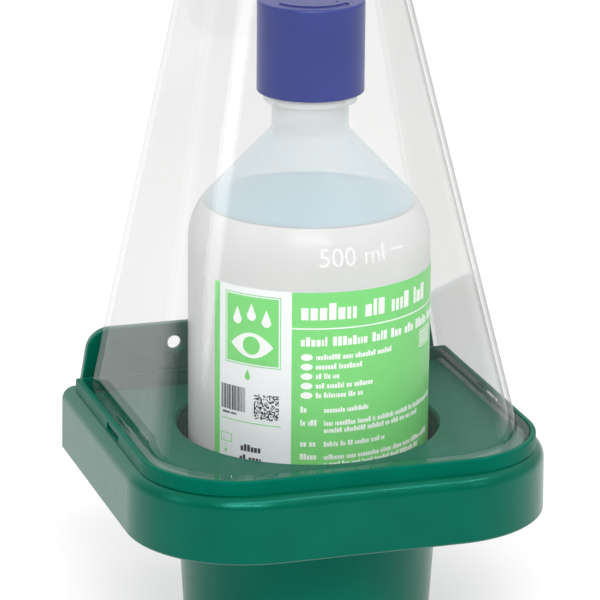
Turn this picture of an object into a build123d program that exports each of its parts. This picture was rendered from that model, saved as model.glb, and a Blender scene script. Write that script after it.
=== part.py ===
from build123d import *
import os

# Wall-mounted eyewash station: a green bracket and tray with a deep cup, a clear tapered
# cover, and a 500 ml bottle of sterile saline that stands in the cup.
# Millimetres.  +Z up, the wall is at +Y, the front is at -Y.  The origin is the centre of
# the bounding box's bottom face, so z = 0 is the surface that the cup stands on.

# ---- driving dimensions ----------------------------------------------------------------
TRAY_WIDTH = 132.6            # bracket skirt, across its lower edge
TRAY_DEPTH = 118.0            # wall plane to the front of the skirt
TRAY_CORNER = 37.0            # plan radius of the two front corners
SKIRT_LOW_Z = 41.0
SHOULDER_Z = 61.8             # flat top of the skirt
LIP_TOP_Z = 66.2
FLOOR_Z = 62.0                # top of the tray floor
PLATE_TOP_Z = 80.9            # top of the upright screw plate
AXIS_Y = 6.0                  # cup and bottle axis, nearer the wall than the centre

CUP_TOP_RADIUS = 42.6         # outside, under the floor
CUP_LOW_RADIUS = 39.0         # outside, at the bottom
CUP_WALL = 1.5
CUP_BASE = 2.0
FLOOR_HOLE_RADIUS = 41.0

SCREW_SPACING = 58.0
SCREW_Z = 74.0
SCREW_HOLE_RADIUS = 2.25

COVER_WALL = 1.8
COVER_TOP_Z = 212.0
COVER_BASE_Z = 66.3           # level at which the cover's own four sizes below are given
COVER_HALF_WIDTH = 58.6
COVER_REAR = 51.2
COVER_FRONT = -49.1
COVER_CORNER = 30.1
COVER_REAR_CORNER = 2.6       # radius of the cover's two rear corners
SIDE_LEAN = 0.2043            # how much each size shrinks per millimetre of height
REAR_LEAN = 0.0622
FRONT_LEAN = 0.2427
CORNER_LEAN = 0.0146

BOTTLE_RADIUS = 37.5
BOTTLE_WALL = 1.1
SALINE_LEVEL_Z = 133.9
NECK_RADIUS = 11.8
FINISH_RADIUS = 13.0          # threaded part of the neck
FINISH_WALL = 1.3
NECK_TOP_Z = 183.0
CAP_RADIUS = 16.5
CAP_LOW_Z = 168.5
CAP_TOP_Z = 196.9
THREAD_PITCH = 3.0
THREAD_TURNS = 1.6

LABEL_LOW_Z = 16.0
LABEL_TOP_Z = 115.3
LABEL_FIRST_ANGLE = -156.6    # plan angle of the label's first edge, degrees from +X
LABEL_WRAP = 270.0

FIT_GAP = 0.3
CUT_PAST = 1.0                # how far a cutting solid runs past the face that it opens
SAME_LEVEL = 0.01             # edges this near a height belong to it
WALL_Y = TRAY_DEPTH / 2
FRONT_Y = -TRAY_DEPTH / 2


# ---- shared shapes ---------------------------------------------------------------------
def d_face(half_width, rear, front, corner, z, rear_corner=0.0):
    """Tray plan: round front corners, and square or slightly round rear corners."""
    box = Polygon((-half_width, rear), (half_width, rear), (half_width, front),
                  (-half_width, front), align=None)
    box = fillet(box.vertices().group_by(Axis.Y)[0], radius=corner)
    if rear_corner:
        box = fillet(box.vertices().group_by(Axis.Y)[-1], radius=rear_corner)
    return Pos(0, 0, z) * box


def shrunk(plan, gap, z, rear_corner=0.0):
    """The same plan pulled in on every side by gap, at height z."""
    half_width, rear, front, corner = plan
    return d_face(half_width - gap, rear - gap, front + gap, corner - gap, z, rear_corner)


def prism(plan, gap, low, high):
    return extrude(shrunk(plan, gap, low), amount=high - low, dir=(0, 0, 1))


def block(x_range, y_range, z_range):
    (x0, x1), (y0, y1), (z0, z1) = x_range, y_range, z_range
    return Pos((x0 + x1) / 2, (y0 + y1) / 2, (z0 + z1) / 2) * Box(x1 - x0, y1 - y0, z1 - z0)


def edges_at(shape, z):
    return [e for e in shape.edges() if abs(e.center().Z - z) < SAME_LEVEL]


def turned(corners):
    """Solid of revolution about the bottle axis from (radius, z, fillet radius) corners."""
    profile = Polygon(*[(r, z) for r, z, _ in corners], align=None)
    for r, z, rounding in corners:
        if rounding:
            corner = profile.vertices().sort_by_distance((r, z, 0))[0]
            profile = fillet(corner, radius=rounding)
    return Pos(0, AXIS_Y, 0) * revolve(Plane.XZ * profile, Axis.Z)


def save(name, shape):
    export_step(shape, f"parts/{name}.step")


# ---- green bracket: skirt, shoulder and upright screw plate ---------------------------
SKIRT_PLAN = (TRAY_WIDTH / 2, WALL_Y, FRONT_Y, TRAY_CORNER)
SKIRT_DRAFT = 0.3
SKIRT_WALL = 2.2
SKIRT_FOOT_CHAMFER = 0.5
SHOULDER_FILLET = 4.2
PLATE_LOW_HALF_WIDTH = 61.0
PLATE_TOP_HALF_WIDTH = 57.2
PLATE_CORNER = 8.0
PLATE_THICKNESS = 2.5
PLATE_ROOT = 3.0                         # how far the plate is sunk in the shoulder
PLATE_EDGE_ROUND = 0.6
COUNTERSINK = 1.1                        # depth, and growth in radius
COUNTERSINK_PROUD = 0.05
LIP_PLAN = (63.0, 53.6, -54.8, 30.5)     # outside of the tray's raised lip
SEAT_INSET = 1.2                         # the lip overhangs the bracket's opening by this


def skirt_block():
    half_width, rear, front, corner = SKIRT_PLAN
    low = d_face(half_width, rear, front, corner, SKIRT_LOW_Z)
    high = d_face(half_width - SKIRT_DRAFT, rear, front + SKIRT_DRAFT,
                  corner - SKIRT_DRAFT, SHOULDER_Z)
    body = loft([low, high])
    off_the_wall = WALL_Y - 1
    rim = [e for e in edges_at(body, SHOULDER_Z) if e.center().Y < off_the_wall]
    body = fillet(rim, radius=SHOULDER_FILLET)
    foot = [e for e in edges_at(body, SKIRT_LOW_Z) if e.center().Y < off_the_wall]
    return chamfer(foot, length=SKIRT_FOOT_CHAMFER)


def screw_plate():
    """Upright plate behind the tray, narrower at its top, with rounded top corners."""
    root_z = SHOULDER_Z - PLATE_ROOT
    shape = Polygon((-PLATE_LOW_HALF_WIDTH, root_z), (PLATE_LOW_HALF_WIDTH, root_z),
                    (PLATE_TOP_HALF_WIDTH, PLATE_TOP_Z), (-PLATE_TOP_HALF_WIDTH, PLATE_TOP_Z),
                    align=None)
    shape = fillet(shape.vertices().group_by(Axis.Y)[-1], radius=PLATE_CORNER)
    wall_plane = Plane((0, WALL_Y, 0), x_dir=(1, 0, 0), z_dir=(0, -1, 0))
    plate = extrude(wall_plane * shape, amount=PLATE_THICKNESS, dir=(0, -1, 0))
    face_y = WALL_Y - PLATE_THICKNESS
    front_rim = [e for e in plate.edges() if abs(e.center().Y - face_y) < SAME_LEVEL
                 and e.center().Z > SHOULDER_Z]
    return fillet(front_rim, radius=PLATE_EDGE_ROUND)


def screw_hole(x):
    """Clearance hole with a countersink in the plate's front face."""
    shaft = (Pos(x, WALL_Y - PLATE_THICKNESS / 2, SCREW_Z) * Rot(90, 0, 0)
             * Cylinder(SCREW_HOLE_RADIUS, PLATE_THICKNESS + 2 * CUT_PAST))
    head_y = WALL_Y - PLATE_THICKNESS + COUNTERSINK / 2 - COUNTERSINK_PROUD
    head = (Pos(x, head_y, SCREW_Z) * Rot(90, 0, 0)
            * Cone(SCREW_HOLE_RADIUS, SCREW_HOLE_RADIUS + COUNTERSINK, COUNTERSINK))
    return shaft + head


def wall_bracket():
    inner_plan = (SKIRT_PLAN[0] - SKIRT_WALL, WALL_Y - PLATE_THICKNESS,
                  FRONT_Y + SKIRT_WALL, TRAY_CORNER - SKIRT_WALL)
    hollow = prism(inner_plan, 0, SKIRT_LOW_Z - CUT_PAST, SHOULDER_Z - SKIRT_WALL)
    seat = prism(LIP_PLAN, SEAT_INSET, SKIRT_LOW_Z, SHOULDER_Z + CUT_PAST)
    body = skirt_block() - hollow - seat + screw_plate()
    for x in (-SCREW_SPACING / 2, SCREW_SPACING / 2):
        body -= screw_hole(x)
    return body


# ---- green tray: lip, floor and snap windows -------------------------------------------
LIP_WALL = 1.8
LIP_DRAFT = 0.2
LIP_CREST_ROUND = 0.6
FLOOR_THICKNESS = 2.0
FLOOR_HOLE_CHAMFER = 0.7
SPIGOT_LOW_Z = 57.5
WINDOW_LENGTH = 14.0
WINDOW_LOW_Z = 62.3
WINDOW_TOP_Z = 64.9
WINDOW_Y = AXIS_Y + 1.0


def tray():
    spigot_inset = SEAT_INSET + FIT_GAP
    lip = loft([shrunk(LIP_PLAN, 0, SHOULDER_Z), shrunk(LIP_PLAN, LIP_DRAFT, LIP_TOP_Z)])
    lip = fillet(edges_at(lip, LIP_TOP_Z), radius=LIP_CREST_ROUND)
    body = lip + prism(LIP_PLAN, spigot_inset, SPIGOT_LOW_Z, SHOULDER_Z)
    body -= prism(LIP_PLAN, LIP_WALL, FLOOR_Z, LIP_TOP_Z + CUT_PAST)
    body -= prism(LIP_PLAN, spigot_inset + LIP_WALL, SPIGOT_LOW_Z - CUT_PAST,
                  FLOOR_Z - FLOOR_THICKNESS)
    chamfer_low = FLOOR_Z - FLOOR_HOLE_CHAMFER
    rim_radius, rim_z = FLOOR_HOLE_RADIUS + CUT_PAST, chamfer_low + CUT_PAST
    body -= turned([(0, SPIGOT_LOW_Z, 0), (FLOOR_HOLE_RADIUS, SPIGOT_LOW_Z, 0),
                    (FLOOR_HOLE_RADIUS, chamfer_low, 0), (rim_radius, rim_z, 0), (0, rim_z, 0)])
    for side in (-1, 1):
        x_range = sorted((side * (LIP_PLAN[0] - LIP_WALL - CUT_PAST),
                          side * (LIP_PLAN[0] + CUT_PAST)))
        body -= block(x_range, (WINDOW_Y - WINDOW_LENGTH / 2, WINDOW_Y + WINDOW_LENGTH / 2),
                      (WINDOW_LOW_Z, WINDOW_TOP_Z))
    return body


# ---- green bottle cup ------------------------------------------------------------------
CUP_FLANGE_RADIUS = 44.0
CUP_FLANGE_LOW_Z = 58.0
CUP_FLANGE_ROUND = 0.8
CUP_FOOT_ROUND = 2.0
CUP_INNER_ROUND = 1.0


def bottle_cup():
    top_z = FLOOR_Z - FLOOR_THICKNESS
    inner_top, inner_low = CUP_TOP_RADIUS - CUP_WALL, CUP_LOW_RADIUS - CUP_WALL
    outside = turned([(0, 0, 0), (CUP_LOW_RADIUS, 0, CUP_FOOT_ROUND),
                      (CUP_TOP_RADIUS, top_z, 0), (0, top_z, 0)])
    flange = turned([(0, CUP_FLANGE_LOW_Z, 0),
                     (CUP_FLANGE_RADIUS, CUP_FLANGE_LOW_Z, CUP_FLANGE_ROUND),
                     (CUP_FLANGE_RADIUS, top_z, 0), (0, top_z, 0)])
    inside = turned([(0, CUP_BASE, 0), (inner_low, CUP_BASE, CUP_INNER_ROUND),
                     (inner_top, top_z, 0), (inner_top, top_z + CUT_PAST, 0),
                     (0, top_z + CUT_PAST, 0)])
    return outside + flange - inside


# ---- clear cover -----------------------------------------------------------------------
FOOT_PLAN = (60.9, 51.5, -52.6, 28.4)    # outside of the cover's out-turned foot
FOOT_LOW_Z = FLOOR_Z                     # the foot's rim stands on the tray floor
FOOT_SHELF_Z = 64.2                      # underside of the foot's flat shelf
FOOT_TOP_Z = 66.0
FOOT_RIM = 1.6
COVER_TOP_FILLET = 2.4
SLOT_INNER_X = 59.2                      # slot that frees each snap tab's spring arm
SLOT_WIDTH = 1.0
SLOT_LENGTH = 16.0
TAB_LENGTH = 11.0
TAB_REACH = 1.6
TAB_NOSE = 0.6                           # height of the tab's blunt nose


def cover_section(z, gap):
    """Plan of the tapered wall at height z, pulled in by gap."""
    rise = z - COVER_BASE_Z
    plan = (COVER_HALF_WIDTH - SIDE_LEAN * rise, COVER_REAR - REAR_LEAN * rise,
            COVER_FRONT + FRONT_LEAN * rise, COVER_CORNER - CORNER_LEAN * rise)
    return shrunk(plan, gap, z, COVER_REAR_CORNER - gap)


def cover():
    hood = loft([cover_section(FOOT_SHELF_Z, 0), cover_section(COVER_TOP_Z, 0)])
    hood = fillet(edges_at(hood, COVER_TOP_Z), radius=COVER_TOP_FILLET)
    inner_top = COVER_TOP_Z - COVER_WALL
    inside = loft([cover_section(FOOT_LOW_Z - CUT_PAST, COVER_WALL),
                   cover_section(inner_top, COVER_WALL)])
    inside = fillet(edges_at(inside, inner_top), radius=COVER_TOP_FILLET - COVER_WALL)
    shelf = prism(FOOT_PLAN, 0, FOOT_SHELF_Z, FOOT_TOP_Z)
    rim = (prism(FOOT_PLAN, 0, FOOT_LOW_Z, FOOT_SHELF_Z)
           - prism(FOOT_PLAN, FOOT_RIM, FOOT_LOW_Z - CUT_PAST, FOOT_SHELF_Z))
    body = hood + shelf + rim - inside
    for side in (-1, 1):
        x_range = sorted((side * SLOT_INNER_X, side * (SLOT_INNER_X + SLOT_WIDTH)))
        body -= block(x_range, (WINDOW_Y - SLOT_LENGTH / 2, WINDOW_Y + SLOT_LENGTH / 2),
                      (FOOT_LOW_Z - CUT_PAST, FOOT_TOP_Z + CUT_PAST))
    return body


def cover_snap_tabs():
    """Two wedge hooks on the foot's spring arms, one in each window of the lip."""
    low, high = WINDOW_LOW_Z + FIT_GAP, WINDOW_TOP_Z - FIT_GAP
    wedge = Polygon((0, low), (TAB_REACH, high - TAB_NOSE), (TAB_REACH, high), (0, high),
                    align=None)
    right = extrude(Plane.XZ * wedge, amount=TAB_LENGTH / 2, both=True)
    left = mirror(right, Plane.YZ)
    foot = FOOT_PLAN[0]
    return Compound([Pos(-foot, WINDOW_Y, 0) * left, Pos(foot, WINDOW_Y, 0) * right])


# ---- bottle ----------------------------------------------------------------------------
CONE_TOP_Z = 156.7            # where the shoulder cone would meet the neck
CONE_CORNER_Z = 129.7         # where the cone would meet the bottle's side
SHOULDER_ROUND = 20.5
NECK_ROOT_ROUND = 3.0
BOTTLE_LOW_Z = CUP_BASE
HEEL_ROUND = 5.0
INNER_HEEL_ROUND = 4.0
KICK_RADIUS = 24.0            # the base is pushed in, so that it stands on its rim
KICK_HEIGHT = 2.0
RIM_RADIUS = 28.0             # inner edge of that rim
RIM_ROUND = 1.0
BEAD_RADIUS = 14.35
BEAD_LOW_Z = 165.4
BEAD_TOP_Z = 167.7
BEAD_ROUND = 0.8
NECK_MOUTH_ROUND = 0.4
NECK_THREAD_Z = 171.0
NECK_THREAD_DEPTH = 1.2
CAP_THREAD_Z = 169.6
CAP_THREAD_DEPTH = 1.4
THREAD_ROOT = 0.2             # how far a ridge is sunk in its wall
THREAD_ROOT_HALF = 0.8        # half the ridge's height, at the wall and at its crest
THREAD_CREST_HALF = 0.4
INNER_CONE_DROP = 0.5         # the inner shoulder sits this much lower


def thread(radius, depth, first_z, inward):
    """Helical ridge of one start, growing out of a cylinder of the given radius."""
    way = -1 if inward else 1
    path = Helix(THREAD_PITCH, THREAD_PITCH * THREAD_TURNS, radius)
    root, crest = -way * THREAD_ROOT, way * depth
    ridge = Polygon((root, -THREAD_ROOT_HALF), (root, THREAD_ROOT_HALF),
                    (crest, THREAD_CREST_HALF), (crest, -THREAD_CREST_HALF), align=None)
    section = Plane((radius, 0, 0), x_dir=(1, 0, 0), z_dir=(0, -1, 0)) * ridge
    return Pos(0, AXIS_Y, first_z) * sweep(section, path=path, is_frenet=True)


def saline_corners(gap):
    """Inner profile of the bottle up to its neck, pulled in by gap."""
    radius = BOTTLE_RADIUS - BOTTLE_WALL - gap
    neck = NECK_RADIUS - BOTTLE_WALL - gap
    low = BOTTLE_LOW_Z + BOTTLE_WALL + gap
    return [(0, low + KICK_HEIGHT, 0), (KICK_RADIUS, low + KICK_HEIGHT, KICK_HEIGHT),
            (RIM_RADIUS, low, RIM_ROUND), (radius, low, INNER_HEEL_ROUND),
            (radius, CONE_CORNER_Z - INNER_CONE_DROP, SHOULDER_ROUND - BOTTLE_WALL),
            (neck, CONE_TOP_Z - INNER_CONE_DROP, NECK_ROOT_ROUND), (neck, BEAD_TOP_Z, 0)]


def bottle_body():
    outside = [(0, BOTTLE_LOW_Z + KICK_HEIGHT, 0),
               (KICK_RADIUS, BOTTLE_LOW_Z + KICK_HEIGHT, KICK_HEIGHT),
               (RIM_RADIUS, BOTTLE_LOW_Z, RIM_ROUND),
               (BOTTLE_RADIUS, BOTTLE_LOW_Z, HEEL_ROUND),
               (BOTTLE_RADIUS, CONE_CORNER_Z, SHOULDER_ROUND),
               (NECK_RADIUS, CONE_TOP_Z, NECK_ROOT_ROUND),
               (NECK_RADIUS, BEAD_LOW_Z, BEAD_ROUND), (BEAD_RADIUS, BEAD_LOW_Z, BEAD_ROUND),
               (BEAD_RADIUS, BEAD_TOP_Z, BEAD_ROUND), (FINISH_RADIUS, BEAD_TOP_Z, 0),
               (FINISH_RADIUS, NECK_TOP_Z, NECK_MOUTH_ROUND), (0, NECK_TOP_Z, 0)]
    mouth = FINISH_RADIUS - FINISH_WALL
    inside = saline_corners(0) + [(mouth, BEAD_TOP_Z, 0), (mouth, NECK_TOP_Z + CUT_PAST, 0),
                                  (0, NECK_TOP_Z + CUT_PAST, 0)]
    ridge = thread(FINISH_RADIUS, NECK_THREAD_DEPTH, NECK_THREAD_Z, inward=False)
    return turned(outside) - turned(inside) + ridge


def saline():
    """The liquid, a hair inside the bottle's wall, cut off at its level."""
    liquid_gap, around = 0.05, BOTTLE_RADIUS + 10
    full = turned(saline_corners(liquid_gap) + [(0, BEAD_TOP_Z, 0)])
    above = block((-around, around), (AXIS_Y - around, AXIS_Y + around),
                  (SALINE_LEVEL_Z, BEAD_TOP_Z + CUT_PAST))
    return full - above


def label():
    """Film sleeve round three quarters of the bottle."""
    film_gap, film = 0.05, 0.20
    inner = BOTTLE_RADIUS + film_gap
    outer = inner + film
    sleeve = Polygon((inner, LABEL_LOW_Z), (outer, LABEL_LOW_Z), (outer, LABEL_TOP_Z),
                     (inner, LABEL_TOP_Z), align=None)
    wrap = revolve(Plane.XZ * sleeve, Axis.Z, revolution_arc=LABEL_WRAP)
    return Pos(0, AXIS_Y, 0) * Rot(0, 0, LABEL_FIRST_ANGLE) * wrap


# ---- rinsing nozzle, break-off tip and cap ---------------------------------------------
PLUG_GAP = 0.1                # between the nozzle's plug and the neck
PLUG_LOW_Z = 175.0
PLUG_WALL = 1.2
NOZZLE_BORE = 1.5             # radius of the outlet
NOZZLE_TOP_RADIUS = 3.0
NOZZLE_TOP_Z = 188.5
CONE_INNER_RADIUS = 8.5       # nozzle's cone, where it springs from the plug
CONE_OUTER_RADIUS = 9.5
NOZZLE_INNER_Z = NECK_TOP_Z - 1.0
NOZZLE_INNER_TOP_Z = 186.0
FLANGE_THICKNESS = 1.5
FLANGE_ROUND = 0.5
TIP_PEG_RADIUS = 1.2
TIP_PEG_LOW_Z = 187.0
TIP_COLLAR_RADIUS = 2.6
TIP_COLLAR_TOP_Z = 189.4
TIP_HEAD_RADIUS = 3.9
TIP_HEAD_LOW_Z = 190.2
TIP_HEAD_TOP_Z = 194.2
TIP_ROUND = 0.5
CAP_INNER_RADIUS = 14.9
CAP_ROOF = 2.0
CAP_RIM_ROUND = 0.5
CAP_TOP_ROUND = 0.9
CAP_INNER_ROUND = 1.0
SOCKET_INNER_RADIUS = 4.3     # ring inside the cap that goes round the tip's head
SOCKET_OUTER_RADIUS = 5.6
SOCKET_LOW_Z = 190.4


def nozzle():
    plug = FINISH_RADIUS - FINISH_WALL - PLUG_GAP
    flange_top = NECK_TOP_Z + FLANGE_THICKNESS
    return turned([(NOZZLE_BORE, NOZZLE_INNER_TOP_Z, 0), (CONE_INNER_RADIUS, NOZZLE_INNER_Z, 0),
                   (plug - PLUG_WALL, NOZZLE_INNER_Z, 0), (plug - PLUG_WALL, PLUG_LOW_Z, 0),
                   (plug, PLUG_LOW_Z, 0), (plug, NECK_TOP_Z, 0), (FINISH_RADIUS, NECK_TOP_Z, 0),
                   (FINISH_RADIUS, flange_top, FLANGE_ROUND), (CONE_OUTER_RADIUS, flange_top, 0),
                   (NOZZLE_TOP_RADIUS, NOZZLE_TOP_Z, 0), (NOZZLE_BORE, NOZZLE_TOP_Z, 0)])


def break_off_tip():
    """Seal of the outlet: a peg in the bore, a collar on it, and a head for the fingers."""
    return turned([(0, TIP_PEG_LOW_Z, 0), (TIP_PEG_RADIUS, TIP_PEG_LOW_Z, 0),
                   (TIP_PEG_RADIUS, NOZZLE_TOP_Z, 0), (TIP_COLLAR_RADIUS, NOZZLE_TOP_Z, 0),
                   (TIP_COLLAR_RADIUS, TIP_COLLAR_TOP_Z, 0), (TIP_HEAD_RADIUS, TIP_HEAD_LOW_Z, 0),
                   (TIP_HEAD_RADIUS, TIP_HEAD_TOP_Z, TIP_ROUND), (0, TIP_HEAD_TOP_Z, 0)])


def cap():
    roof_z = CAP_TOP_Z - CAP_ROOF
    body = turned([(0, CAP_LOW_Z, 0), (CAP_RADIUS, CAP_LOW_Z, CAP_RIM_ROUND),
                   (CAP_RADIUS, CAP_TOP_Z, CAP_TOP_ROUND), (0, CAP_TOP_Z, 0)])
    body -= turned([(0, CAP_LOW_Z - CUT_PAST, 0), (CAP_INNER_RADIUS, CAP_LOW_Z - CUT_PAST, 0),
                    (CAP_INNER_RADIUS, roof_z, CAP_INNER_ROUND), (0, roof_z, 0)])
    sunk_z = roof_z + CAP_ROOF / 4
    body += turned([(SOCKET_INNER_RADIUS, SOCKET_LOW_Z, 0), (SOCKET_OUTER_RADIUS, SOCKET_LOW_Z, 0),
                    (SOCKET_OUTER_RADIUS, sunk_z, 0), (SOCKET_INNER_RADIUS, sunk_z, 0)])
    return body + thread(CAP_INNER_RADIUS, CAP_THREAD_DEPTH, CAP_THREAD_Z, inward=True)


PARTS = {
    "wall_bracket": wall_bracket, "tray": tray, "bottle_cup": bottle_cup,
    "cover": cover, "cover_snap_tabs": cover_snap_tabs, "bottle_body": bottle_body,
    "saline": saline, "label": label, "nozzle": nozzle, "break_off_tip": break_off_tip,
    "cap": cap,
}

os.makedirs("parts", exist_ok=True)
for name, make in PARTS.items():
    save(name, make())
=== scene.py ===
import math
import random

import bmesh
import bpy
from mathutils import Matrix, Vector
from mathutils.bvhtree import BVHTree


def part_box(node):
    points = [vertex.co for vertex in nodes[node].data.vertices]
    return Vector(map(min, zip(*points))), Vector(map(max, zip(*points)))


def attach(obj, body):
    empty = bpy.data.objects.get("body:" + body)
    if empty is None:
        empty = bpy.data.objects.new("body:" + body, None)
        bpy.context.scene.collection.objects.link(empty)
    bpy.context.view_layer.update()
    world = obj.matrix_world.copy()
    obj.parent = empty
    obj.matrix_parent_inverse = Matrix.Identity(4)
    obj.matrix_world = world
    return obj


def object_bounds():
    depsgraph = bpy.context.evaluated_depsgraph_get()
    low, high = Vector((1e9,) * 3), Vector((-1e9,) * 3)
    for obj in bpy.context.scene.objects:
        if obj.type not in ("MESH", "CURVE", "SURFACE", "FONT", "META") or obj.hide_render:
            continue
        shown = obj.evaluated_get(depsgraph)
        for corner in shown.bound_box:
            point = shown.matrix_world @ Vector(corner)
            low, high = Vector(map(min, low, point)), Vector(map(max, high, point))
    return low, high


# Eyewash station: textured green bracket, smooth green tray and cup, clear cover, and a
# milky saline bottle with a printed wrap label and a blue twist cap.

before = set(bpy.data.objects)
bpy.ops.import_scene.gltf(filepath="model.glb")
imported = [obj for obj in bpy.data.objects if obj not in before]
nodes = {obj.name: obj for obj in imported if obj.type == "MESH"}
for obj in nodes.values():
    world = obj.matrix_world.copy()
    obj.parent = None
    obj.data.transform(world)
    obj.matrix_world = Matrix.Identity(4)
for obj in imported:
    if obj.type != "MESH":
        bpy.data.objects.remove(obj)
cad_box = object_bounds()

MM = 0.001
bottle_low, bottle_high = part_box("bottle_body")
label_low, label_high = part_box("label")
cap_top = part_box("cap")[1].z
saline_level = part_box("saline")[1].z
AXIS = Vector(((bottle_low.x + bottle_high.x) / 2, (bottle_low.y + bottle_high.y) / 2, 0))
BOTTLE_RADIUS = bottle_high.x
LABEL_RADIUS = label_high.x
LABEL_START = -math.acos(label_low.x / LABEL_RADIUS)   # plan angle of the label's first edge
LABEL_WRAP = math.radians(270)
LABEL_LENGTH = LABEL_WRAP * LABEL_RADIUS / MM          # millimetres along the film
LABEL_BOTTOM = label_low.z / MM
LABEL_TOP = label_high.z / MM


# ---- node helpers ----------------------------------------------------------------------
def add(tree, kind, inputs=None, **settings):
    """A new shader node. inputs maps a socket name or number to a value or an output."""
    made = tree.nodes.new(kind)
    for key, value in settings.items():
        setattr(made, key, value)
    for key, value in (inputs or {}).items():
        if isinstance(value, bpy.types.NodeSocket):
            tree.links.new(value, made.inputs[key])
        else:
            made.inputs[key].default_value = value
    return made


def blank(name):
    material = bpy.data.materials.new(name)
    material.use_nodes = True
    tree = material.node_tree
    tree.nodes.clear()
    output = add(tree, "ShaderNodeOutputMaterial")
    return material, tree, output


def place(tree):
    """Coordinates fixed to the piece, in metres."""
    return add(tree, "ShaderNodeTexCoord").outputs["Object"]


def noise(tree, size_mm, detail=2.0, roughness=0.5):
    return add(tree, "ShaderNodeTexNoise",
               {"Vector": place(tree), "Scale": 1000 / size_mm, "Detail": detail,
                "Roughness": roughness}).outputs["Fac"]


def spread(tree, value, low, high, start=0.3, end=0.7):
    """value from start to end, mapped to low to high."""
    return add(tree, "ShaderNodeMapRange",
               {"Value": value, "From Min": start, "From Max": end, "To Min": low,
                "To Max": high}).outputs["Result"]


def blended(tree, factor, first, second):
    mix = add(tree, "ShaderNodeMix", {"Factor": factor}, data_type="RGBA")
    mix.inputs["A"].default_value = (*first, 1)
    mix.inputs["B"].default_value = (*second, 1)
    return next(o for o in mix.outputs if o.type == "RGBA")


def bumped(tree, height, depth_mm, under=None):
    inputs = {"Height": height, "Distance": depth_mm * MM, "Strength": 1.0}
    if under is not None:
        inputs["Normal"] = under
    return add(tree, "ShaderNodeBump", inputs).outputs["Normal"]


# ---- materials -------------------------------------------------------------------------
GREEN_GLOSS = (0.14, 1.0, 0.88)
NEUTRAL_GLOSS = (1.0, 1.0, 1.0)
SINK_WAVE_MM = 14


def moulded(name, dark, light, roughness, grain_mm, grain_depth, wave_depth, specular, gloss):
    """Injection-moulded plastic: grain from the tool, slight sink waves, uneven gloss.
    The two depths are in millimetres."""
    material, tree, output = blank(name)
    wave = noise(tree, SINK_WAVE_MM)
    grain = noise(tree, grain_mm, detail=3.0, roughness=0.6)
    normal = bumped(tree, grain, grain_depth, bumped(tree, wave, wave_depth))
    shader = add(tree, "ShaderNodeBsdfPrincipled",
                 {"Base Color": blended(tree, spread(tree, wave, 0, 1), dark, light),
                  "Roughness": spread(tree, grain, roughness * 0.85, roughness * 1.15),
                  "Specular IOR Level": specular, "Specular Tint": (*gloss, 1),
                  "Normal": normal})
    tree.links.new(shader.outputs[0], output.inputs["Surface"])
    return material


COVER_TINT = (0.980, 0.980, 0.978)       # what one face lets through, seen straight on
COVER_EDGE_TINT = (0.34, 0.34, 0.33)     # and seen along the wall
COVER_MIRROR = (0.045, 0.55)             # what it mirrors, straight on and along the wall
COVER_DULL_RANGE = (0.62, 0.95)          # facing values between which the tint changes


def clear_cover_material():
    """Clear plastic wall: each face mirrors more and lets through less where it is seen
    aslant. The wall bends nothing."""
    material, tree, output = blank("clear_cover_plastic")
    facing = add(tree, "ShaderNodeLayerWeight", {"Blend": 0.5}).outputs["Facing"]
    slant = add(tree, "ShaderNodeMath", {0: facing, 1: 5.0}, operation="POWER")
    mirrored = spread(tree, slant.outputs[0], *COVER_MIRROR, 0.0, 1.0)
    aslant = spread(tree, facing, 0.0, 1.0, *COVER_DULL_RANGE)
    dulled = add(tree, "ShaderNodeMath", {0: aslant, 1: 2.0}, operation="POWER").outputs[0]
    through = add(tree, "ShaderNodeBsdfTransparent",
                  {"Color": blended(tree, dulled, COVER_TINT, COVER_EDGE_TINT)})
    gloss = add(tree, "ShaderNodeBsdfPrincipled",
                {"Base Color": (0.97, 0.97, 0.97, 1), "Metallic": 1.0, "Roughness": 0.03,
                 "Normal": bumped(tree, noise(tree, 60, detail=0.0), 0.003)})
    mix = add(tree, "ShaderNodeMixShader", {0: mirrored, 1: through.outputs[0],
                                            2: gloss.outputs[0]})
    tree.links.new(mix.outputs[0], output.inputs["Surface"])
    return material


BOTTLE_CLOUD_MM = 22
BOTTLE_GRAIN_MM = 0.8
BOTTLE_GLOW = 0.35            # share of the milk that light shines through
DRY_WALL_DEPTH = 0.66         # optical depth of the milky wall, bare and backed by liquid
WET_WALL_DEPTH = 2.4
LEVEL_BLUR = 0.2 * MM         # half the height over which one turns into the other


def wall_share(tree, dry_depth, wet_depth):
    """How much of the light a milky wall stops: more where it is seen aslant, and more
    where liquid lies behind it. The far face of each wall is left clear, so that a wall
    counts once."""
    facing = add(tree, "ShaderNodeLayerWeight", {"Blend": 0.5}).outputs["Facing"]
    cosine = add(tree, "ShaderNodeMath", {0: 1.02, 1: facing}, operation="SUBTRACT")
    height = add(tree, "ShaderNodeSeparateXYZ", {0: place(tree)}).outputs["Z"]
    depth = spread(tree, height, -wet_depth, -dry_depth, saline_level - LEVEL_BLUR,
                   saline_level + LEVEL_BLUR)
    path = add(tree, "ShaderNodeMath", {0: depth, 1: cosine.outputs[0]}, operation="DIVIDE")
    passed = add(tree, "ShaderNodeMath", {0: math.e, 1: path.outputs[0]}, operation="POWER")
    stopped = add(tree, "ShaderNodeMath", {0: 1.0, 1: passed.outputs[0]},
                  operation="SUBTRACT")
    back = add(tree, "ShaderNodeNewGeometry").outputs["Backfacing"]
    front = add(tree, "ShaderNodeMath", {0: 1.0, 1: back}, operation="SUBTRACT")
    return add(tree, "ShaderNodeMath", {0: stopped.outputs[0], 1: front.outputs[0]},
               operation="MULTIPLY").outputs[0]


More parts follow.
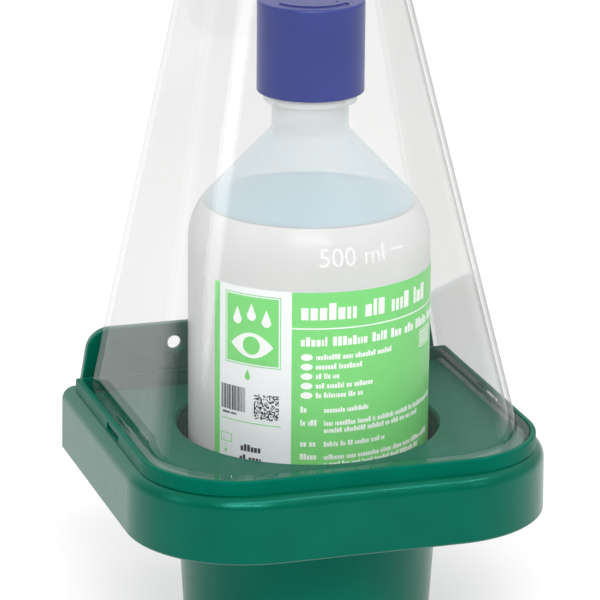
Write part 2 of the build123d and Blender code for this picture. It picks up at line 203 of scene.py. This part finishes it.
def bottle_material():
    """Milky blow-moulded plastic: it glows with light from both sides and veils what is
    behind it."""
    material, tree, output = blank("natural_bottle_plastic")
    cloud = noise(tree, BOTTLE_CLOUD_MM, detail=3.0)
    fine = noise(tree, BOTTLE_GRAIN_MM)
    normal = bumped(tree, fine, 0.006, bumped(tree, cloud, 0.12))
    tone = blended(tree, spread(tree, cloud, 0, 1), (0.93, 0.935, 0.93), (0.96, 0.96, 0.955))
    face = add(tree, "ShaderNodeBsdfPrincipled",
               {"Base Color": tone, "Roughness": spread(tree, cloud, 0.18, 0.26),
                "Specular IOR Level": 0.32, "Normal": normal})
    glow = add(tree, "ShaderNodeBsdfTranslucent", {"Color": tone, "Normal": normal})
    milk = add(tree, "ShaderNodeMixShader", {0: BOTTLE_GLOW, 1: face.outputs[0],
                                             2: glow.outputs[0]})
    clear = add(tree, "ShaderNodeBsdfTransparent", {"Color": (1, 1, 1, 1)})
    share = wall_share(tree, DRY_WALL_DEPTH, WET_WALL_DEPTH)
    mix = add(tree, "ShaderNodeMixShader", {0: share, 1: clear.outputs[0],
                                            2: milk.outputs[0]})
    tree.links.new(mix.outputs[0], output.inputs["Surface"])
    return material


def saline_material():
    """Liquid, nearly white and clear at its side; its upward faces carry painted shade in
    blue.
    """
    material, tree, output = blank("saline_liquid")
    geometry = add(tree, "ShaderNodeNewGeometry")
    up = add(tree, "ShaderNodeSeparateXYZ", {0: geometry.outputs["Normal"]}).outputs["Z"]
    top = spread(tree, up, 0, 1, 0.6, 0.95)
    ripple = bumped(tree, noise(tree, 18, detail=1.0), 0.05)
    body = add(tree, "ShaderNodeBsdfPrincipled",
               # Painted shade: the darker blue on the upward faces is not the clear saline's
               # own colour.
               {"Base Color": blended(tree, top, (0.90, 0.895, 0.88), (0.15, 0.46, 0.59)),
                "Roughness": 0.10, "IOR": 1.33, "Normal": ripple})
    clear = add(tree, "ShaderNodeBsdfTransparent", {"Color": (0.97, 0.985, 0.985, 1)})
    share = spread(tree, top, 0.15, 0.93, 0.0, 1.0)
    mix = add(tree, "ShaderNodeMixShader", {0: share, 1: clear.outputs[0],
                                            2: body.outputs[0]})
    tree.links.new(mix.outputs[0], output.inputs["Surface"])
    return material


def printed(name, colour, second, roughness=0.32):
    """Printed film: even ink with a faint mottle and a satin face."""
    material, tree, output = blank(name)
    mottle = noise(tree, 1.6, detail=3.0)
    shader = add(tree, "ShaderNodeBsdfPrincipled",
                 {"Base Color": blended(tree, spread(tree, mottle, 0, 1), colour, second),
                  "Roughness": spread(tree, mottle, roughness, roughness + 0.1),
                  "Specular IOR Level": 0.4,
                  "Normal": bumped(tree, noise(tree, 9, detail=1.0), 0.03)})
    tree.links.new(shader.outputs[0], output.inputs["Surface"])
    return material


def paper_floor():
    """White paper on a light table."""
    material, tree, output = blank("floor_paper")
    shader = add(tree, "ShaderNodeBsdfPrincipled",
                 {"Base Color": (0.4, 0.4, 0.4, 1), "Roughness": 0.9,
                  "Specular IOR Level": 0.1, "Emission Color": (1, 1, 1, 1),
                  "Emission Strength": 0.58})
    tree.links.new(shader.outputs[0], output.inputs["Surface"])
    return material


bracket_green = moulded("bracket_green", (0.0, 0.076, 0.042), (0.0, 0.087, 0.050),
                        roughness=0.22, grain_mm=0.8, grain_depth=0.06, wave_depth=0.05,
                        specular=0.42, gloss=GREEN_GLOSS)
tray_green = moulded("tray_green", (0.0, 0.100, 0.062), (0.0, 0.112, 0.070),
                     roughness=0.34, grain_mm=2.5, grain_depth=0.006, wave_depth=0.03,
                     specular=0.06, gloss=GREEN_GLOSS)
cup_green = moulded("cup_green", (0.0, 0.100, 0.058), (0.0, 0.112, 0.065),
                    roughness=0.24, grain_mm=2.5, grain_depth=0.006, wave_depth=0.12,
                    specular=0.4, gloss=GREEN_GLOSS)
cap_blue = moulded("cap_blue", (0.008, 0.020, 0.19), (0.012, 0.026, 0.22),
                   roughness=0.32, grain_mm=0.7, grain_depth=0.06, wave_depth=0.03,
                   specular=0.4, gloss=NEUTRAL_GLOSS)
white_plastic = moulded("nozzle_white", (0.84, 0.84, 0.82), (0.88, 0.88, 0.86),
                        roughness=0.35, grain_mm=1.0, grain_depth=0.01, wave_depth=0.03,
                        specular=0.4, gloss=NEUTRAL_GLOSS)
film_white = printed("label_white", (0.86, 0.87, 0.90), (0.89, 0.90, 0.93))
ink_green = printed("label_green_ink", (0.185, 0.66, 0.175), (0.20, 0.69, 0.19))
ink_white = printed("label_white_ink", (0.88, 0.90, 0.88), (0.93, 0.94, 0.93))
ink_black = printed("label_black_ink", (0.035, 0.033, 0.045), (0.05, 0.048, 0.06))
clear_cover = clear_cover_material()

CAD_MATERIALS = {
    "wall_bracket": (bracket_green, "green_textured"),
    "tray": (tray_green, "green_smooth"),
    "bottle_cup": (cup_green, "green_smooth"),
    "cover": (clear_cover, "clear_cover"),
    "cover_snap_tabs": (clear_cover, "clear_cover"),
    "bottle_body": (bottle_material(), "natural_plastic"),
    "saline": (saline_material(), "saline"),
    "label": (film_white, "label_film"),
    "nozzle": (white_plastic, "white_plastic"),
    "break_off_tip": (white_plastic, "white_plastic"),
    "cap": (cap_blue, "blue_cap"),
}
for name, (material, slot) in CAD_MATERIALS.items():
    nodes[name].material_slots[0].material = material


# ---- label print -----------------------------------------------------------------------
# Print is drawn flat, in millimetres: s along the film from its first edge, z upwards as
# in the frame.  Then it is cut into narrow strips, given a thickness and wrapped.
STRIP = 2.0
STRIP_OFFSET = 0.777          # keeps the cuts off the print's own edges
INK_LEVEL = 0.05              # each ink layer stands this much further out
INK_SUNK = -0.03              # and reaches this far into the layer under it


def rectangle(mesh, s0, s1, z0, z1):
    corners = [mesh.verts.new((s, z, 0)) for s, z in ((s0, z0), (s1, z0), (s1, z1), (s0, z1))]
    mesh.faces.new(corners)


def outline(mesh, points):
    mesh.faces.new([mesh.verts.new((s, z, 0)) for s, z in points])


def oval(mesh, s, z, half_s, half_z, sides=28):
    turns = [2 * math.pi * i / sides for i in range(sides)]
    outline(mesh, [(s + half_s * math.cos(t), z + half_z * math.sin(t)) for t in turns])


def frame_lines(mesh, s0, s1, z0, z1, line):
    rectangle(mesh, s0, s1, z0, z0 + line)
    rectangle(mesh, s0, s1, z1 - line, z1)
    rectangle(mesh, s0, s0 + line, z0 + line, z1 - line)
    rectangle(mesh, s1 - line, s1, z0 + line, z1 - line)


def drop(mesh, s, z, size):
    """A water drop with its point up; z is the centre of its round end."""
    radius = size * 0.36
    arc = [math.radians(a) for a in range(150, 391, 15)]
    points = [(s + radius * math.cos(t), z + radius * math.sin(t)) for t in arc]
    outline(mesh, points + [(s, z + size * 0.95)])


def eye_shape(mesh, s, z, half_s, half_z, steps=12):
    lower = [(s + half_s * x, z - half_z * (1 - x * x))
             for x in (-1 + 2 * i / steps for i in range(steps + 1))]
    upper = [(s + half_s * x, z + half_z * (1 - x * x))
             for x in (1 - 2 * i / steps for i in range(1, steps))]
    outline(mesh, lower + upper)


def greeked_word(mesh, s, z, height, letters, draw):
    """Blocks in place of letters: mostly low ones, some tall. Returns the word's end."""
    width, gap = height * 0.42, height * 0.12
    for _ in range(letters):
        tall = draw.random() < 0.34
        top = z + height * (1.0 if tall else 0.72)
        slim = width * (0.55 if draw.random() < 0.25 else 1.0)
        rectangle(mesh, s, s + slim, z, top)
        s += slim + gap
    return s


def greeked_line(mesh, s0, s1, z, height, draw):
    s = s0
    while True:
        letters = draw.randint(2, 9)
        if s + letters * height * 0.54 > s1:
            return
        s = greeked_word(mesh, s, z, height, letters, draw) + height * 0.38


def paragraph(mesh, s0, s1, z_top, lines, pitch, height, draw):
    for i in range(lines):
        end = s1 if i < lines - 1 else s0 + (s1 - s0) * draw.uniform(0.4, 0.9)
        greeked_line(mesh, s0, end, z_top - i * pitch, height, draw)


def wrapped(mesh, name, material, low, high):
    """Turns flat print into a thin closed skin on the bottle, between two ink levels."""
    for i in range(int(LABEL_LENGTH / STRIP) + 1):
        geometry = mesh.verts[:] + mesh.edges[:] + mesh.faces[:]
        bmesh.ops.bisect_plane(mesh, geom=geometry, dist=1e-5,
                               plane_co=(i * STRIP + STRIP_OFFSET, 0, 0), plane_no=(1, 0, 0))
    for face in mesh.faces:
        if face.normal.z < 0:
            face.normal_flip()
    raised = bmesh.ops.extrude_face_region(mesh, geom=mesh.faces[:], use_keep_orig=True)
    for vert in (g for g in raised["geom"] if isinstance(g, bmesh.types.BMVert)):
        vert.co.z = 1
    bmesh.ops.recalc_face_normals(mesh, faces=mesh.faces[:])
    for vert in mesh.verts:
        s, z, level = vert.co
        radius = LABEL_RADIUS + (low + (high - low) * level) * MM
        angle = LABEL_START + s * MM / LABEL_RADIUS
        vert.co = AXIS + Vector((radius * math.cos(angle), radius * math.sin(angle), z * MM))
    return piece(mesh, name, material, "bottle")


def piece(mesh, name, material, body):
    data = bpy.data.meshes.new(name)
    mesh.to_mesh(data)
    mesh.free()
    made = bpy.data.objects.new(name, data)
    bpy.context.scene.collection.objects.link(made)
    data.materials.append(material)
    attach(made, body)
    return made


# Layout.  Four numbers are a box's limits (s0, s1, z0, z1); three are s, z and a size.
GREEN_STRIP_END = 2.3
GREEN_PANEL_START = 27.2
GREEN_PANEL_END = 150.0
PICTURE = (4.8, 23.9, 90.6, 113.3)       # framed pictogram
PICTURE_MARGIN = 0.7
THIN_LINE = 0.25
EYE_CENTRE = (14.35, 97.2)
EYE_HALF_SIZE = (7.2, 4.0)
PUPIL_RADIUS = 2.9
EYE_DROPS = ((9.4, 105.0, 4.2), (14.35, 106.6, 4.2), (19.3, 105.0, 4.2))
SMALL_DROP = (13.0, 87.0, 2.6)
PANEL_RULE = (3.1, 24.0, 72.2, 72.45)
SMALL_BOX = (2.9, 7.3, 64.8, 67.6)
SMALL_STEM = (4.85, 5.0, 62.6, 64.2)
SMALL_DOT = (4.9, 61.9, 0.5, 0.5)
BAR_BLOCK = (3.1, 12.8, 75.4, 83.3)
SQUARE_BLOCK_CORNER = (15.3, 73.9)
SQUARE_BLOCK_CELLS = 21
SQUARE_BLOCK_CELL = 0.385
TEXT_START = 30.0
HEADING_Z = 106.7
HEADING_HEIGHT = 5.2
HEADING_WORDS = (7, 3, 4, 3)             # letters in each word
HEADING_RULE = (GREEN_PANEL_START, GREEN_PANEL_END, 103.7, 104.1)
SECOND_LINE_Z = 98.4
SECOND_LINE_HEIGHT = 2.9
SECOND_LINE_WORDS = (6, 8, 4, 3, 3, 5, 7)
BULLET_TOP_Z = 94.9
BULLET_PITCH = 3.03
BULLET_LINE_ENDS = (62.6, 51.0, 47.7, 56.6, 49.8)
STAMP = (74.5, 84.0, 91.5, 97.0)         # small framed box with four bars
NOTES = ((77.2, 1), (73.0, 2), (66.3, 1), (62.1, 2), (55.5, 3), (45.0, 2))   # z, lines
SIDE_NOTES_Z = (94.0, 84.0, 72.0, 58.0, 46.0, 34.0)
SIDE_NOTES = (96.0, 144.0)               # s limits
TABLE = (153.0, 174.5, 22.0, 58.0)
TABLE_PITCH = 6
BACK_TEXT = (153.0, 175.0)               # s limits


def green_print():
    mesh = bmesh.new()
    rectangle(mesh, 0.0, GREEN_STRIP_END, LABEL_BOTTOM, LABEL_TOP)
    rectangle(mesh, GREEN_PANEL_START, GREEN_PANEL_END, LABEL_BOTTOM, LABEL_TOP)
    s0, s1, z0, z1 = PICTURE
    frame_lines(mesh, s0, s1, z0, z1, THIN_LINE)
    rectangle(mesh, s0 + PICTURE_MARGIN, s1 - PICTURE_MARGIN, z0 + PICTURE_MARGIN,
              z1 - PICTURE_MARGIN)
    drop(mesh, *SMALL_DROP)
    rectangle(mesh, *PANEL_RULE)
    frame_lines(mesh, *SMALL_BOX, 0.2)
    rectangle(mesh, *SMALL_STEM)
    oval(mesh, *SMALL_DOT)
    greeked_line(mesh, 11.0, 15.5, 84.4, 1.3, random.Random(11))
    frame_lines(mesh, *TABLE, THIN_LINE)
    s0, s1, z0, _ = TABLE
    for row in range(1, 6):
        z = z0 + TABLE_PITCH * row
        rectangle(mesh, s0, s1, z, z + 0.2)
    return wrapped(mesh, "label_green_print", ink_green, INK_SUNK, INK_LEVEL)


def heading(mesh, z, height, words, space, draw):
    s = TEXT_START
    for letters in words:
        s = greeked_word(mesh, s, z, height, letters, draw) + space


def white_print():
    mesh = bmesh.new()
    draw = random.Random(5)
    eye_shape(mesh, *EYE_CENTRE, *EYE_HALF_SIZE)
    for eye_drop in EYE_DROPS:
        drop(mesh, *eye_drop)
    heading(mesh, HEADING_Z, HEADING_HEIGHT, HEADING_WORDS, 2.3, draw)
    rectangle(mesh, *HEADING_RULE)
    heading(mesh, SECOND_LINE_Z, SECOND_LINE_HEIGHT, SECOND_LINE_WORDS, 1.4, draw)
    for i, end in enumerate(BULLET_LINE_ENDS):
        z = BULLET_TOP_Z - BULLET_PITCH * i
        oval(mesh, TEXT_START + 1.8, z, 1.8, 1.05)
        greeked_line(mesh, TEXT_START + 4.6, end, z - 0.8, 1.7, draw)
    frame_lines(mesh, *STAMP, 0.3)
    s0, s1, z0, _ = STAMP
    for i in range(4):
        z = z0 + 0.8 + 1.1 * i
        rectangle(mesh, s0 + 0.8, s1 - 0.8, z, z + 0.6)
    for z, lines in NOTES:
        greeked_line(mesh, TEXT_START, TEXT_START + 6.6, z + 0.1, 1.9, draw)
        paragraph(mesh, TEXT_START + 7.2, 88.0, z, lines, 2.3, 1.6, draw)
    s0, s1 = SIDE_NOTES
    for z in SIDE_NOTES_Z:
        greeked_line(mesh, s0, s0 + 14.0, z, 2.2, draw)
        paragraph(mesh, s0, s1, z - 3.2, 3, 2.4, 1.5, draw)
    return wrapped(mesh, "label_white_print", ink_white, INK_LEVEL + INK_SUNK, 2 * INK_LEVEL)


def eye_print():
    mesh = bmesh.new()
    oval(mesh, *EYE_CENTRE, PUPIL_RADIUS, PUPIL_RADIUS)
    return wrapped(mesh, "label_pupil_print", ink_green, 2 * INK_LEVEL + INK_SUNK,
                   3 * INK_LEVEL)


def bar_block(mesh, s0, s1, z0, z1, draw):
    """Upright bars of random width; they stand for no number."""
    s = s0
    while s < s1 - 0.5:
        width = draw.choice((0.16, 0.16, 0.32, 0.48))
        rectangle(mesh, s, s + width, z0, z1)
        s += width + draw.choice((0.16, 0.2, 0.32))


def square_block(mesh, s0, z0, cells, cell, draw):
    """A square of random dark cells, in runs along each row."""
    for row in range(cells):
        start = None
        for column in range(cells + 1):
            dark = column < cells and draw.random() < 0.52
            if dark and start is None:
                start = column
            if not dark and start is not None:
                rectangle(mesh, s0 + start * cell, s0 + column * cell,
                          z0 + row * cell, z0 + (row + 1) * cell - 0.02)
                start = None


def black_print():
    mesh = bmesh.new()
    draw = random.Random(23)
    bar_block(mesh, *BAR_BLOCK, draw)
    greeked_line(mesh, 3.6, 12.4, 74.0, 0.9, draw)
    square_block(mesh, *SQUARE_BLOCK_CORNER, SQUARE_BLOCK_CELLS, SQUARE_BLOCK_CELL, draw)
    for s, z, letters in ((10.7, 63.0, 6), (10.3, 59.6, 2), (13.6, 59.6, 4)):
        greeked_word(mesh, s, z, 2.2, letters, draw)
    paragraph(mesh, 4.0, 25.0, 54.0, 8, 3.0, 1.3, draw)
    s0, s1, z0, _ = TABLE
    for row in range(6):
        greeked_line(mesh, s0 + 1.2, s1 - 1.5, z0 + 2.0 + TABLE_PITCH * row, 1.5, draw)
    paragraph(mesh, *BACK_TEXT, 108.0, 15, 3.0, 1.4, draw)
    return wrapped(mesh, "label_black_print", ink_black, INK_SUNK, INK_LEVEL)


green_print()
white_print()
eye_print()
black_print()


# ---- raised volume mark on the bottle --------------------------------------------------
MARK_START = 35.0             # millimetres from the label's first edge
MARK_BASE_Z = 123.0
MARK_SIZE = 8.0
MARK_RAISE = 0.14
MARK_SUNK = -0.3
MARK_SPACING = 1.02
DASH_CENTRE = (27.6, 3.0)     # from the first digit's lower left corner
DASH_LENGTH = 5.6
DASH_THICKNESS = 0.5


def surface_tree(name):
    data = nodes[name].data
    points = [v.co.copy() for v in data.vertices]
    return BVHTree.FromPolygons(points, [list(p.vertices) for p in data.polygons])


def text_mesh(words, size):
    curve = bpy.data.curves.new("mark_text", "FONT")
    curve.body = words
    curve.size = size
    curve.space_character = MARK_SPACING
    curve.extrude = 1.0
    holder = bpy.data.objects.new("mark_text", curve)
    bpy.context.scene.collection.objects.link(holder)
    data = bpy.data.meshes.new_from_object(holder)
    bpy.data.objects.remove(holder)
    mesh = bmesh.new()
    mesh.from_mesh(data)
    bpy.data.meshes.remove(data)
    return mesh


def volume_mark():
    mesh = text_mesh("500 ml", MARK_SIZE)
    bmesh.ops.remove_doubles(mesh, verts=mesh.verts[:], dist=1e-4)
    dash = bmesh.ops.create_cube(mesh, size=1.0)
    for vert in dash["verts"]:
        vert.co = Vector((vert.co.x * DASH_LENGTH + DASH_CENTRE[0],
                          vert.co.y * DASH_THICKNESS + DASH_CENTRE[1], vert.co.z * 2))
    bottle = surface_tree("bottle_body")
    for vert in mesh.verts:
        angle = LABEL_START + (MARK_START + vert.co.x) * MM / LABEL_RADIUS
        out = Vector((math.cos(angle), math.sin(angle), 0))
        height = Vector((0, 0, (MARK_BASE_Z + vert.co.y) * MM))
        hit, normal, _, _ = bottle.ray_cast(AXIS + height + out * 2 * BOTTLE_RADIUS, -out)
        vert.co = hit + normal * MM * (MARK_RAISE if vert.co.z > 0 else MARK_SUNK)
    bmesh.ops.recalc_face_normals(mesh, faces=mesh.faces[:])
    return piece(mesh, "bottle_volume_mark", nodes["bottle_body"].material_slots[0].material,
                 "bottle")


volume_mark()


# ---- raised turning arrows on the cap's top --------------------------------------------
ARROW_INNER = 10.2 * MM
ARROW_OUTER = 12.2 * MM
ARROW_BARB = 1.3 * MM         # how far the head is wider on each side
ARROW_START = 0.35            # plan angle in radians
ARROW_SWEEP = math.radians(110)
ARROW_HEAD = math.radians(16)
ARROW_SUNK = 0.3 * MM
ARROW_RAISE = 0.4 * MM


def turning_arrow(mesh, start, low, high):
    """A flat curved arrow that points the way the cap unscrews."""
    steps = 20
    inner, outer, sweep = ARROW_INNER, ARROW_OUTER, ARROW_SWEEP
    middle = (inner + outer) / 2
    spine = [start + sweep * i / steps for i in range(steps + 1)]
    ring = [(outer, t) for t in spine]
    tip = [(outer + ARROW_BARB, spine[-1]), (middle, spine[-1] + ARROW_HEAD),
           (inner - ARROW_BARB, spine[-1])]
    ring += tip + [(inner, t) for t in reversed(spine)]
    bottom, top = [], []
    for radius, t in ring:
        flat = AXIS + Vector((radius * math.cos(t), radius * math.sin(t), 0))
        bottom.append(mesh.verts.new(flat + Vector((0, 0, low))))
        top.append(mesh.verts.new(flat + Vector((0, 0, high))))
    mesh.faces.new(top)
    mesh.faces.new(list(reversed(bottom)))
    for i, first in enumerate(bottom):
        after = (i + 1) % len(bottom)
        mesh.faces.new((first, bottom[after], top[after], top[i]))


def cap_arrows():
    mesh = bmesh.new()
    for turn in range(2):
        turning_arrow(mesh, math.pi * turn + ARROW_START, cap_top - ARROW_SUNK,
                      cap_top + ARROW_RAISE)
    return piece(mesh, "cap_turning_arrows", cap_blue, "cap")


cap_arrows()


# ---- floor, world and lights -----------------------------------------------------------
FLOOR_REACH = 6.0             # metres from the middle to each edge


def floor():
    mesh = bmesh.new()
    bmesh.ops.create_grid(mesh, x_segments=1, y_segments=1, size=FLOOR_REACH)
    data = bpy.data.meshes.new("floor")
    mesh.to_mesh(data)
    mesh.free()
    made = bpy.data.objects.new("floor", data)
    data.materials.append(paper_floor())
    bpy.context.scene.collection.objects.link(made)
    made.location.z = cad_box[0].z


# How bright the studio is round the horizon: plan angle in degrees from +X, strength.
HORIZON = ((-180, 0.40), (-150, 0.36), (-107, 0.34), (-62, 0.36), (-45, 0.50), (-30, 0.55),
           (0, 0.50), (40, 0.60), (62, 0.90), (88, 1.0), (108, 1.1), (124, 0.9),
           (145, 0.40), (180, 0.40))
SKY_FROM, SKY_FULL = 0.45, 0.8   # upward share of a direction where the even sky takes over


def studio_world():
    """A white studio, bright behind and above the object and dimmer in front."""
    world = bpy.data.worlds.new("studio")
    world.use_nodes = True
    tree = world.node_tree
    tree.nodes.clear()
    look = add(tree, "ShaderNodeTexCoord").outputs["Generated"]
    parts = add(tree, "ShaderNodeSeparateXYZ", {0: look})
    angle = add(tree, "ShaderNodeMath", {0: parts.outputs["Y"], 1: parts.outputs["X"]},
                operation="ARCTAN2")
    turn = spread(tree, angle.outputs[0], 0, 1, -math.pi, math.pi)
    ramp = add(tree, "ShaderNodeValToRGB", {0: turn})
    stops = ramp.color_ramp.elements
    while len(stops) < len(HORIZON):
        stops.new(0.5)
    for stop, (plan, strength) in zip(stops, HORIZON):
        stop.position = (plan + 180) / 360
        stop.color = (strength, strength, strength, 1)
    above = add(tree, "ShaderNodeMapRange",
                {"Value": parts.outputs["Z"], "From Min": SKY_FROM, "From Max": SKY_FULL},
                interpolation_type="SMOOTHSTEP")
    sky = add(tree, "ShaderNodeMix", {"Factor": above.outputs["Result"]}, data_type="RGBA")
    tree.links.new(ramp.outputs["Color"], sky.inputs["A"])
    sky.inputs["B"].default_value = (1, 1, 1, 1)
    shade = add(tree, "ShaderNodeBackground",
                {"Color": next(o for o in sky.outputs if o.type == "RGBA")})
    output = add(tree, "ShaderNodeOutputWorld")
    tree.links.new(shade.outputs[0], output.inputs["Surface"])
    bpy.context.scene.world = world


def softbox(name, azimuth, elevation, distance, size, power):
    """An area light that faces the middle of the object."""
    data = bpy.data.lights.new(name, "AREA")
    data.shape = "RECTANGLE"
    data.size, data.size_y = size
    data.energy = power
    made = bpy.data.objects.new(name, data)
    bpy.context.scene.collection.objects.link(made)
    a, e = math.radians(azimuth), math.radians(elevation)
    back = Vector((math.sin(a) * math.cos(e), -math.cos(a) * math.cos(e), math.sin(e)))
    made.location = (cad_box[0] + cad_box[1]) / 2 + back * distance
    made.rotation_euler = back.to_track_quat("Z", "Y").to_euler()
    made.visible_camera = False


floor()
studio_world()
softbox("top_strip", azimuth=15, elevation=62, distance=1.1, size=(1.3, 0.05), power=5.0)
softbox("front_softbox", azimuth=-16, elevation=38, distance=1.3, size=(0.8, 0.35), power=9.5)
softbox("left_softbox", azimuth=-84, elevation=24, distance=1.2, size=(0.4, 0.6), power=1.4)
softbox("right_softbox", azimuth=38, elevation=26, distance=1.3, size=(0.22, 0.35), power=0.8)


# ---- camera ----------------------------------------------------------------------------
CAMERA_AZIMUTH = math.radians(-17.61)
CAMERA_ELEVATION = math.radians(17.37)
CAMERA_ROLL = math.radians(0.47)
CAMERA_DISTANCE = 1.1439
CAMERA_TARGET = Vector((-0.0028, 0.006, 0.1015))
CAMERA_LENS = 221.05


def camera():
    a, e, r = CAMERA_AZIMUTH, CAMERA_ELEVATION, CAMERA_ROLL
    back = Vector((math.sin(a) * math.cos(e), -math.cos(a) * math.cos(e), math.sin(e)))
    level_right = Vector((math.cos(a), math.sin(a), 0))
    level_up = back.cross(level_right)
    right = level_right * math.cos(r) + level_up * math.sin(r)
    up = level_up * math.cos(r) - level_right * math.sin(r)
    data = bpy.data.cameras.new("camera")
    data.lens = CAMERA_LENS
    made = bpy.data.objects.new("camera", data)
    bpy.context.scene.collection.objects.link(made)
    turn = Matrix((right, up, back)).transposed().to_4x4()
    made.matrix_world = Matrix.Translation(CAMERA_TARGET + back * CAMERA_DISTANCE) @ turn
    bpy.context.scene.camera = made


camera()
bpy.context.scene.view_settings.view_transform = "Standard"
